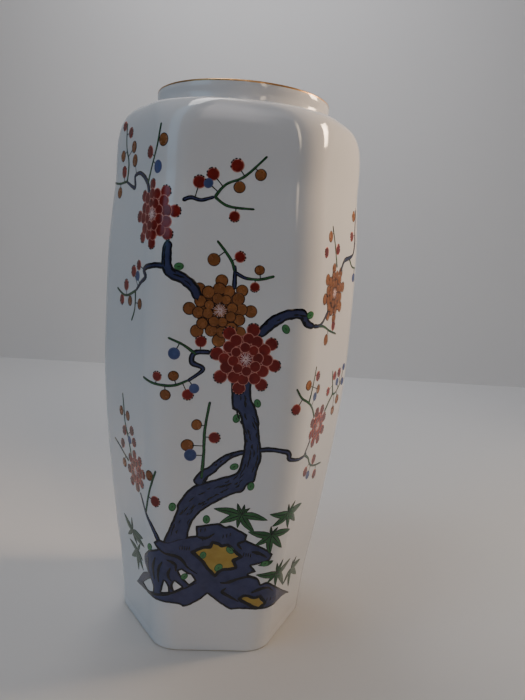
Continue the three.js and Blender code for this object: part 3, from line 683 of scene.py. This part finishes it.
# Brushed lines inside the rock.
ROCK_LINES = [
    [(-27.6, 53), (-23, 49.6), (-18, 48.8), (-14.6, 46.6), (-12.4, 43.4), (-8, 40)],
    [(-27, 46), (-28.4, 40), (-27.4, 34)],
    [(-23.4, 45), (-25.4, 39.6), (-25, 33.6)],
    [(-19.6, 42.6), (-20.6, 38.6), (-18.8, 35.6)],
    [(-21.6, 46.4), (-17.6, 44.6), (-17.4, 41)],
    [(-32, 44), (-33, 39.6), (-31, 35)],
    [(-44, 24), (-38, 25.2), (-33, 24.2), (-27, 26.4), (-20, 29), (-13, 32.6), (-8, 35.5)],
    [(5, 33.4), (3.4, 31), (7.6, 28.4), (11, 26.2)],
    [(2, 36), (5, 36), (10, 38.2), (14, 39.4), (18, 38.2)],
    [(16, 31), (19, 32.6), (23.6, 33), (27, 30)],
    [(-9, 58.5), (-5, 58), (-1.6, 60.4)],
    [(12, 57.4), (8.6, 55.6), (10.4, 53)],
    [(14.6, 52), (18.4, 51.2), (21.6, 49)],
]
# Rows of short hatches: first and last place, how many.
ROCK_HATCHES = [
    ((-16, 52.9), (-12, 52.6), 5), ((-6.5, 57.5), (-5.2, 58), 2), ((11.4, 50.6), (14.4, 50.2), 4),
    ((-7.6, 61.6), (-5.8, 62), 2), ((24, 26.5), (30, 25), 4), ((-34, 41), (-32, 42), 2),
    ((2, 59), (5, 60), 3),
]

# Bamboo: each fan is its heart and the tips of the leaves round it.
BAMBOO = {
    "bamboo_high": [
        ((9, 69.6), [(-2.8, 72), (0, 65.2), (7.8, 63.2), (15.2, 61.2), (20.4, 67.4), (12.6, 73), (7, 75),
                     (10, 74.6)]),
    ],
    "bamboo_right": [
        ((31.2, 69.4), [(21, 70.2), (22.6, 64.2), (31.6, 61.2), (38.8, 62.2), (44.4, 69), (35.4, 73.8),
                        (30.4, 73.8)]),
        ((22.8, 60.2), [(12.4, 61.6), (15.8, 55), (22.8, 50), (29.2, 52.2), (34.2, 59.8), (22.2, 64.6),
                        (25.6, 63.8)]),
        ((25, 46.8), [(18, 45.2)]),
    ],
    "bamboo_low_right": [
        ((28.4, 39.4), [(17.4, 40.4), (23, 35.2), (28.6, 31.6), (37.8, 27.4), (27.6, 44.8), (32, 45.2),
                        (41.4, 40.6)]),
        ((45, 32.8), [(37.2, 27.6), (45.6, 22), (54.6, 24.4), (46.2, 37.4), (50, 37.4), (56.6, 32.4)]),
    ],
    "bamboo_left": [
        ((-49.8, 48.8), [(-59.8, 53.6), (-50.4, 55.6), (-55.6, 44), (-44, 43.6), (-37.6, 50.4),
                         (-36, 46.6)]),
        ((-44.4, 41), [(-53.6, 42.4), (-52, 33.6), (-43.8, 30), (-38.2, 32.8), (-38.6, 38), (-41, 46)]),
    ],
}


def polar(centre, radius, angle):
    """The place at this angle and distance from a centre."""
    return (centre[0] + radius * math.cos(angle), centre[1] + radius * math.sin(angle))


def ticks(layer, centre, radius, outward, base):
    """Small dark dashes round the outer edge of a red petal."""
    for k in range(5):
        angle = outward + (k - 2) * 0.5 + between(-0.12, 0.12)
        place = polar(centre, radius * 0.95, angle)
        layer.disc(place, 0.15 * radius + 0.15, base, INK, 0.02, sides=9, stretch=0.62, turn=angle)


def petal_ring(layer, centre, count, distance, radius, turn, base, ticked):
    """A ring of small discs, a little uneven, each one over the last one's rim."""
    for k in range(count):
        angle = turn + k * 2 * math.pi / count + between(-0.05, 0.05)
        place = polar(centre, distance * between(0.97, 1.03), angle)
        size = radius * between(0.93, 1.04)
        layer.disc(place, size, base + 0.004 * k, dome=PETAL)
        if ticked:
            ticks(layer, place, size, angle, base + 0.004 * k + PETAL)


def blossom(name, centre, radius, enamel, double, turn, base):
    """Rounds of small discs, the inner ones over the outer ones, and a burst of pale stamens."""
    layer = Layer()
    red = enamel == "iron_red"
    tip = 0.185 * radius if double else 0.24 * radius
    layer.disc(centre, 0.66 * radius, base - 0.01, dome=0.01, sides=40, tone=1)
    petal_ring(layer, centre, 8, radius - tip, tip, turn, base, red)
    if double:
        petal_ring(layer, centre, 12, 0.575 * radius, 0.178 * radius, turn + 0.12, base + 0.05, False)
    inner, size = (0.33, 0.158) if double else (0.38, 0.19)
    petal_ring(layer, centre, 8, inner * radius, size * radius, turn + 0.3, base + 0.1, False)
    layer.disc(centre, 0.2 * radius, base + 0.09)
    for k in range(19):
        angle = k * 2 * math.pi / 19 + between(-0.1, 0.1)
        length = (0.21 if double else 0.22) * radius * between(0.8, 1.08)
        ends = [polar(centre, 0.25, angle), polar(centre, length, angle)]
        layer.stroke(ends, [0.34, 0.3, 0.16], base + 0.19, PALE, dome=0.04)
    layer.fire(name, enamel, name)


def bark(layer, points, widths, base):
    """Short dark brush marks along a trunk or a branch."""
    line, way = smooth_line(points)
    for start in range(4, len(line) - 8, 4):
        along = line[start + 2] - line[start]
        along = along / norm(along)
        side = np.array([-along[1], along[0]])
        place = line[start] + side * between(-0.4, 0.4) * width_at(way[start], widths)
        length = between(1.4, 4.2)
        bend = side * between(-0.5, 0.5)
        mark = [place, place + along * length / 2 + bend, place + along * length]
        layer.ink(mark, [0.25, between(0.6, 1.15), 0.2], base, 0.15)


def trunk():
    """The trunk over the arched root that leaves and meets it again."""
    layer = Layer()
    for points, widths in WOOD["plum_trunk"]:
        layer.stroke(points, widths, 0, rough=0.1, outline=BLUE_OUTLINE)
        bark(layer, points, widths, 0)
    layer.plate(TRUNK_OUTLINE, base=0.03, rough=0.16)
    for _ in range(2):
        bark(layer, TRUNK_LINE, TRUNK_WIDTHS, 0.03)
    layer.fire("plum_trunk", "blue", "plum_trunk")


def branch(node, strokes):
    """Blue wood, with bark marks where it is thick."""
    layer = Layer()
    for order, (points, widths) in enumerate(strokes):
        base = 0.02 * order
        layer.stroke(points, widths, base, rough=0.12, outline=BLUE_OUTLINE)
        if max(widths) > 3:
            bark(layer, points, widths, base)
    layer.fire(f"{node}_wood", "blue", node)


def twig(node, strokes):
    """Young green twigs."""
    layer = Layer()
    for order, (points, widths) in enumerate(strokes):
        layer.stroke(points, widths, 0.02 + 0.01 * order, rough=0.1)
    layer.fire(f"{node}_green", "green", node)


def rock():
    """The pierced garden rock with its brushed lines, over the yellow glaze in its hollows."""
    layer = Layer()
    hollows = list(ROCK_HOLLOWS.values())
    base = 0.06
    layer.plate(ROCK_OUTLINE, [*ROCK_GAPS, *hollows], base, rough=0.14)
    for line in ROCK_LINES:
        layer.ink(line, [0.6, 1.7, 1.4, 0.5], base, 0.25)
    for outline in hollows:
        line = smooth_line(outline, 1.5, closed=True)[0]
        layer.stroke([*line, line[0]], [1.3], base + SKIN + DOME / 2, INK, rough=0.35, dome=0.03)
    for first, last, count in ROCK_HATCHES:
        for part in np.linspace(0, 1, count):
            place = np.array(first) * (1 - part) + np.array(last) * part
            layer.ink([place - (0.1, 1.1), place + (0.1, 1.1)], [0.3, 0.7, 0.3], base)
    layer.fire("garden_rock", "blue", "garden_rock")
    for name, outline in ROCK_HOLLOWS.items():
        layer = Layer()
        away = np.array(outline) - np.mean(outline, axis=0)
        away /= norm(away, axis=1)[:, None]
        layer.plate(outline + 0.9 * away, base=-0.04)
        layer.fire(name, "yellow", name)


def leaf(layer, heart, tip, base):
    """One pointed leaf with a dark vein."""
    heart, tip = np.array(heart), np.array(tip)
    span = tip - heart
    length = norm(span)
    width = min(0.36 * length, 3.8)
    bend = np.array([-span[1], span[0]]) * between(-0.06, 0.06)
    line = [heart, heart + 0.45 * span + bend, tip]
    layer.stroke(line, [0.4, 0.72 * width, width, 0.86 * width, 0.5 * width, 0.12], base)
    vein = [heart + 0.06 * span, heart + 0.45 * span + bend, heart + 0.84 * span]
    layer.stroke(vein, [0.5, 0.5, 0.2], base + SKIN + DOME, INK, dome=0.02)


def bamboo(name, fans):
    """Fans of leaves, each leaf over the last one."""
    layer = Layer()
    for heart, tips in fans:
        for order, tip in enumerate(tips):
            leaf(layer, heart, tip, 0.01 * order)
    layer.fire(name, "green", name)


def buds():
    """The loose buds, each on a short stalk from the nearest twig or branch."""
    strokes = [stroke for plants in (WOOD, YOUNG_TWIGS) for plant in plants.values() for stroke in plant]
    wood = np.concatenate([smooth_line(points)[0] for points, _ in strokes])
    stalks = Layer()
    for order, (enamel, places) in enumerate(BUDS.items()):
        layer = Layer()
        base = 0.02 + 0.03 * order
        for s, height, radius in places:
            place = np.array((s, height))
            foot = wood[norm(wood - place, axis=1).argmin()]
            away = place - foot
            gap = norm(away)
            outward = math.atan2(away[1], away[0])
            # painted shade: the brown-gold buds low on the left face get the full deep tone, darkened as
            # shade
            tone = 1 if enamel == "brown_gold" and -62 < s < -20 and height < 160 else None
            stretch = between(0.92, 1.03)
            layer.disc(place, radius, base, dome=PETAL, stretch=stretch, turn=outward, tone=tone)
            if enamel == "iron_red":
                ticks(layer, place, radius, outward, base + PETAL)
            if radius < gap < 9:
                stalks.stroke([foot, place - 0.7 * radius * away / gap], [0.55, 0.45, 0.6])
        layer.fire(f"buds_{enamel}", "bud_blue" if enamel == "blue" else enamel)
    stalks.fire("bud_stalks", "green")


def moss():
    """Green dots with a short dark dash."""
    layer = Layer()
    for place in MOSS:
        turn = between(0, math.pi)
        layer.disc(place, between(1.4, 1.75), DOME, stretch=1.3, turn=turn)
        dash = [polar(place, -0.7, turn), polar(place, 0.7, turn)]
        layer.stroke(dash, [0.2, 0.4, 0.2], DOME * 2, INK, dome=0.02)
    layer.fire("moss_dots", "moss")


# ---- materials ----


class Shader:
    """The nodes of a material or a world; each call adds a node and gives its output."""

    def __init__(self, owner):
        self.owner = owner
        owner.use_nodes = True
        self.tree = owner.node_tree
        self.tree.nodes.clear()

    def add(self, kind, inputs=None, output=0, **settings):
        node = self.tree.nodes.new("ShaderNode" + kind)
        for key, value in settings.items():
            setattr(node, key, value)
        for key, value in (inputs or {}).items():
            if isinstance(value, bpy.types.NodeSocket):
                self.tree.links.new(value, node.inputs[key])
            else:
                node.inputs[key].default_value = value
        return node.outputs[output]

    def place(self):
        return self.add("TexCoord", output="Object")

    def noise(self, scale, detail=3.0, stretch=(1, 1, 1)):
        place = self.add("Mapping", {"Vector": self.place(), "Scale": stretch})
        return self.add("TexNoise", {"Vector": place, "Scale": scale, "Detail": detail}, "Fac")

    def mark(self, name):
        return self.add("Attribute", attribute_name=name, output="Fac")

    def spread(self, value, low, high, to_low, to_high):
        inputs = {"Value": value, "From Min": low, "From Max": high, "To Min": to_low, "To Max": to_high}
        return self.add("MapRange", inputs)

    def sum(self, first, second, operation="ADD"):
        return self.add("Math", {0: first, 1: second}, operation=operation)

    def mix(self, factor, first, second, blend="MIX"):
        colours = [(*value, 1) if isinstance(value, tuple) else value for value in (first, second)]
        inputs = {0: factor, 6: colours[0], 7: colours[1]}
        return self.add("Mix", inputs, 2, data_type="RGBA", blend_type=blend)

    def bump(self, height, strength, distance, below=None):
        inputs = {"Height": height, "Strength": strength, "Distance": distance}
        if below:
            inputs["Normal"] = below
        return self.add("Bump", inputs)

    def finish(self, inputs, kind="BsdfPrincipled", end="Material"):
        surface = self.add(kind, inputs)
        last = self.tree.nodes.new(f"ShaderNodeOutput{end}")
        self.tree.links.new(surface, last.inputs["Surface"])
        return self.owner


def material_shader(name):
    return Shader(bpy.data.materials.new(name))


def glaze_look(shader):
    """Colour, roughness and normal of the white glaze, for the shader that is being made."""
    cloud = shader.noise(22)
    colour = shader.mix(cloud, (0.7, 0.715, 0.745), (0.75, 0.76, 0.775))
    specks = shader.spread(shader.noise(2600, 1), 0.76, 0.8, 0, 0.5)
    colour = shader.mix(specks, colour, (0.6, 0.58, 0.55))
    roughness = shader.spread(shader.noise(130), 0.3, 0.7, 0.05, 0.1)
    waves = shader.bump(shader.noise(38, 1, (1, 1, 0.45)), 0.35, 0.0006)
    skin = shader.bump(shader.noise(900, 2), 0.04, 0.0002, waves)
    return colour, roughness, skin


def porcelain_material():
    shader = material_shader("white_glaze")
    colour, roughness, normal = glaze_look(shader)
    return shader.finish({
        "Base Color": colour, "Roughness": roughness, "Normal": normal, "IOR": 1.52,
        "Coat Weight": 0.25, "Coat Roughness": 0.03,
    })


def foot_material():
    """Glaze down to a millimetre above the table, and below that the bare, slightly sandy body."""
    shader = material_shader("bare_foot")
    colour, roughness, normal = glaze_look(shader)
    height = shader.add("SeparateXYZ", {0: shader.place()}, "Z")
    uneven = shader.sum(height, shader.spread(shader.noise(160), 0.3, 0.7, -0.0002, 0.0002))
    bare = shader.spread(uneven, 0.0005, 0.0008, 1, 0)
    grit = shader.noise(1800, 5)
    clay = shader.mix(grit, (0.52, 0.47, 0.4), (0.7, 0.66, 0.6))
    colour = shader.mix(bare, colour, clay)
    roughness = shader.add("Mix", {0: bare, 2: roughness, 3: 0.75}, data_type="FLOAT")
    normal = shader.bump(shader.sum(grit, bare, "MULTIPLY"), 0.5, 0.0002, normal)
    return shader.finish({"Base Color": colour, "Roughness": roughness, "Normal": normal, "IOR": 1.5})


def gilding_material():
    """Worn gold over the glaze, browner where it is thin."""
    shader = material_shader("worn_gilding")
    wear = shader.noise(420, 5)
    colour = shader.mix(wear, (0.42, 0.22, 0.09), (0.62, 0.38, 0.16))
    roughness = shader.spread(wear, 0.3, 0.7, 0.38, 0.24)
    normal = shader.bump(shader.noise(1500, 3), 0.15, 0.0001)
    return shader.finish({
        "Base Color": colour, "Roughness": roughness, "Normal": normal, "Metallic": 0.75,
    })


def enamel_material(name, rim, light, deep, rim_width, metallic=0.0, roughness=0.16, soft=0.25):
    """A fired enamel: a rim line, a cloudy body, and its ink or pale brush marks."""
    shader = material_shader(name)
    edge = shader.sum(shader.mark("edge"), shader.spread(shader.noise(900), 0.3, 0.7, -0.12, 0.12))
    body_part = shader.spread(edge, rim_width * (1 - soft), rim_width * (1 + soft), 0, 1)
    brushed = shader.spread(shader.noise(240, 4), 0.3, 0.7, 0.1, 0.9)
    body = shader.mix(brushed, deep, light)
    # the tone mark deepens the colour: by chance for each touch, fully for the disc under a blossom, and
    # fully as painted shade on the brown-gold buds low on the left face
    tone = shader.spread(shader.mark("tone"), 0, 1, 0, 0.85)
    body = shader.mix(tone, body, deep)
    colour = shader.mix(body_part, rim, body)
    kind = shader.mark("kind")
    for painted, paint in ((INK, (0.012, 0.012, 0.016)), (PALE, (0.78, 0.6, 0.6))):
        chosen = shader.add("Math", {0: kind, 1: painted, 2: 0.4}, operation="COMPARE")
        colour = shader.mix(chosen, colour, paint)
    gloss = shader.spread(shader.noise(300), 0.3, 0.7, roughness * 0.7, roughness * 1.3)
    normal = shader.bump(shader.noise(700, 3), 0.2, 0.00012)
    return shader.finish({
        "Base Color": colour, "Roughness": gloss, "Normal": normal, "Metallic": metallic, "IOR": 1.5,
    })


def plaster_material(name, low, high):
    shader = material_shader(name)
    colour = shader.mix(shader.noise(3, 6), low, high)
    normal = shader.bump(shader.noise(240, 6), 0.15, 0.0004)
    return shader.finish({"Base Color": colour, "Roughness": 0.7, "Normal": normal})


BLUE_OUTLINE = 0.9

# Each enamel's name, rim, light and deep colour, rim width, and its metallic and roughness if not plain.
LOOKS = {
    "blue": (
        "cobalt_enamel", (0.005, 0.005, 0.008), (0.06, 0.07, 0.17), (0.032, 0.038, 0.098), BLUE_OUTLINE),
    "bud_blue": (
        "pale_cobalt_enamel", (0.09, 0.11, 0.24), (0.1, 0.14, 0.34), (0.035, 0.055, 0.15), 0.5),
    "iron_red": (
        "iron_red_enamel", (0.55, 0.22, 0.18), (0.3, 0.024, 0.017), (0.12, 0.009, 0.008), 0.36),
    "brown_gold": (
        "brown_gold_enamel", (0.02, 0.007, 0.004), (0.45, 0.18, 0.06), (0.24, 0.09, 0.032),
        0.38, 0.3, 0.26),
    "yellow": (
        "ochre_enamel", (0.01, 0.009, 0.006), (0.5, 0.36, 0.08), (0.36, 0.24, 0.05), 0.35),
    "green": (
        "leaf_green_enamel", (0.004, 0.016, 0.007), (0.05, 0.17, 0.065), (0.025, 0.095, 0.035), 0.34),
    "moss": (
        "moss_green_enamel", (0.02, 0.09, 0.035), (0.09, 0.28, 0.11), (0.05, 0.18, 0.07), 0.3),
}
ENAMELS = {key: enamel_material(*look) for key, look in LOOKS.items()}

# ---- camera, floor and light ----


def set_camera():
    """A close view from a little above, slightly turned and rolled."""
    turn, pan, pitch, roll = 0.0242, 0.0583, -0.1622, 0.0745
    distance, height = 286.04, 179.46
    place = Matrix.Translation(Vector((0, -distance, height)) * MM)
    level = Matrix.Rotation(-pan, 4, "Z") @ Matrix.Rotation(math.pi / 2 + pitch, 4, "X")
    camera = add_object("camera", bpy.data.cameras.new("camera"))
    camera.data.sensor_fit = "VERTICAL"
    camera.data.sensor_height = 36
    camera.data.lens = 30.9
    camera.data.clip_start = 0.01
    camera.matrix_world = Matrix.Rotation(-turn, 4, "Z") @ place @ level @ Matrix.Rotation(roll, 4, "Z")
    bpy.context.scene.camera = camera


def slab(name, low, high, material):
    """A plain box of the studio."""
    corners = [(x, y, z) for x in (low[0], high[0]) for y in (low[1], high[1]) for z in (low[2], high[2])]
    faces = [(0, 1, 3, 2), (4, 6, 7, 5), (0, 4, 5, 1), (2, 3, 7, 6), (0, 2, 6, 4), (1, 5, 7, 3)]
    piece = add_object(name, new_mesh(name, corners, faces, material))


def area_light(name, place, target, size, power, colour, spread=math.pi):
    """A rectangular lamp that looks at its target."""
    light = bpy.data.lights.new(name, "AREA")
    light.shape = "RECTANGLE"
    light.size, light.size_y = size
    light.energy = power
    light.spread = spread
    light.color = colour
    lamp = add_object(name, light)
    lamp.location = place
    lamp.rotation_euler = (Vector(target) - Vector(place)).to_track_quat("-Z", "Y").to_euler()


BACKDROP = 0.6
STAGE_EDGE = 2.5
THICK = 0.02


def set_stage():
    """A plain pale floor and a backdrop."""
    pale_floor = plaster_material("pale_floor", (0.6, 0.59, 0.58), (0.66, 0.65, 0.64))
    pale_wall = plaster_material("pale_backdrop", (0.6, 0.6, 0.6), (0.66, 0.66, 0.66))
    slab("floor", (-STAGE_EDGE, -STAGE_EDGE, -THICK), (STAGE_EDGE, BACKDROP, 0), pale_floor)
    slab("backdrop", (-STAGE_EDGE, BACKDROP, -THICK), (STAGE_EDGE, BACKDROP + THICK, 1.2), pale_wall)


def soft_band(shader, value, low, high, soft):
    """1 where the value is between low and high, with soft ends."""
    rising = shader.spread(value, low - soft, low + soft, 0, 1)
    falling = shader.spread(value, high - soft, high + soft, 1, 0)
    return shader.sum(rising, falling, "MULTIPLY")


# Soft windows: colour and strength, and the turn (to the right of the front) and rise that they span.
ROOM_LIGHT = (0.045, 0.045, 0.046)
WINDOWS = [
    ((1.7, 1.55, 1.55), -0.11, 0.075, 0.45, 0.95),
    ((8, 6.2, 4.4), 0.36, 0.46, 0.25, 0.6),
    ((0.35, 0.7, 1.05), -1.3, -0.8, 0.1, 0.9),
]


def soft_room():
    """A dim room with softly bounded windows, which the glaze mirrors."""
    shader = Shader(bpy.data.worlds.new("soft_room"))
    direction = shader.add("TexCoord", output="Generated")
    x, y, rise = (shader.add("SeparateXYZ", {0: direction}, axis) for axis in "XYZ")
    turn = shader.sum(x, shader.sum(y, -1.0, "MULTIPLY"), "ARCTAN2")
    light = ROOM_LIGHT
    for colour, from_turn, to_turn, from_rise, to_rise in WINDOWS:
        across = soft_band(shader, turn, from_turn, to_turn, 0.03)
        up = soft_band(shader, rise, from_rise, to_rise, 0.06)
        light = shader.mix(shader.sum(across, up, "MULTIPLY"), light, colour, "ADD")
    bpy.context.scene.world = shader.finish({"Color": light}, "Background", "World")


def set_light():
    """Soft lamps: the sky from above, warm light from the right, and a wash on the backdrop."""
    low, middle, high = (Vector((0, 0, part * HEIGHT * MM)) for part in (0.05, 0.5, 0.85))
    beside = Vector((0.4, 0, 0))
    behind = Vector((0.2, BACKDROP, 0.4))
    area_light("sky_above", (-0.15, 0.06, 0.85), high, (0.6, 0.16), 1.75, (1, 0.97, 0.97))
    area_light("front_above", (0, -0.7, 0.9), middle, (0.5, 0.3), 0.35, (1, 0.92, 0.92))
    area_light("wall_wash", (-0.1, 0.25, 0.9), behind, (0.5, 0.2), 1.3, (0.95, 0.95, 1), 2)
    area_light("warm_right", (0.42, 0.07, 0.42), high, (0.12, 0.2), 0.25, (1, 0.72, 0.48), 0.8)
    area_light("floor_right", (0.55, -0.15, 0.5), beside + low, (0.3, 0.3), 0.26, (1, 0.82, 0.6), 1.1)
    soft_room()


# ---- the vase ----

glaze = porcelain_material()
vase_wall(glaze)
vase_floor(glaze)
foot_rim(foot_material())
lip_gold(gilding_material())
trunk()
for plant, plant_strokes in WOOD.items():
    if plant != "plum_trunk":
        branch(plant, plant_strokes)
for plant, plant_strokes in YOUNG_TWIGS.items():
    twig(plant, plant_strokes)
rock()
for plant, plant_fans in BAMBOO.items():
    bamboo(plant, plant_fans)
for flower in BLOSSOMS:
    blossom(*flower)
buds()
moss()

set_camera()
set_stage()
set_light()
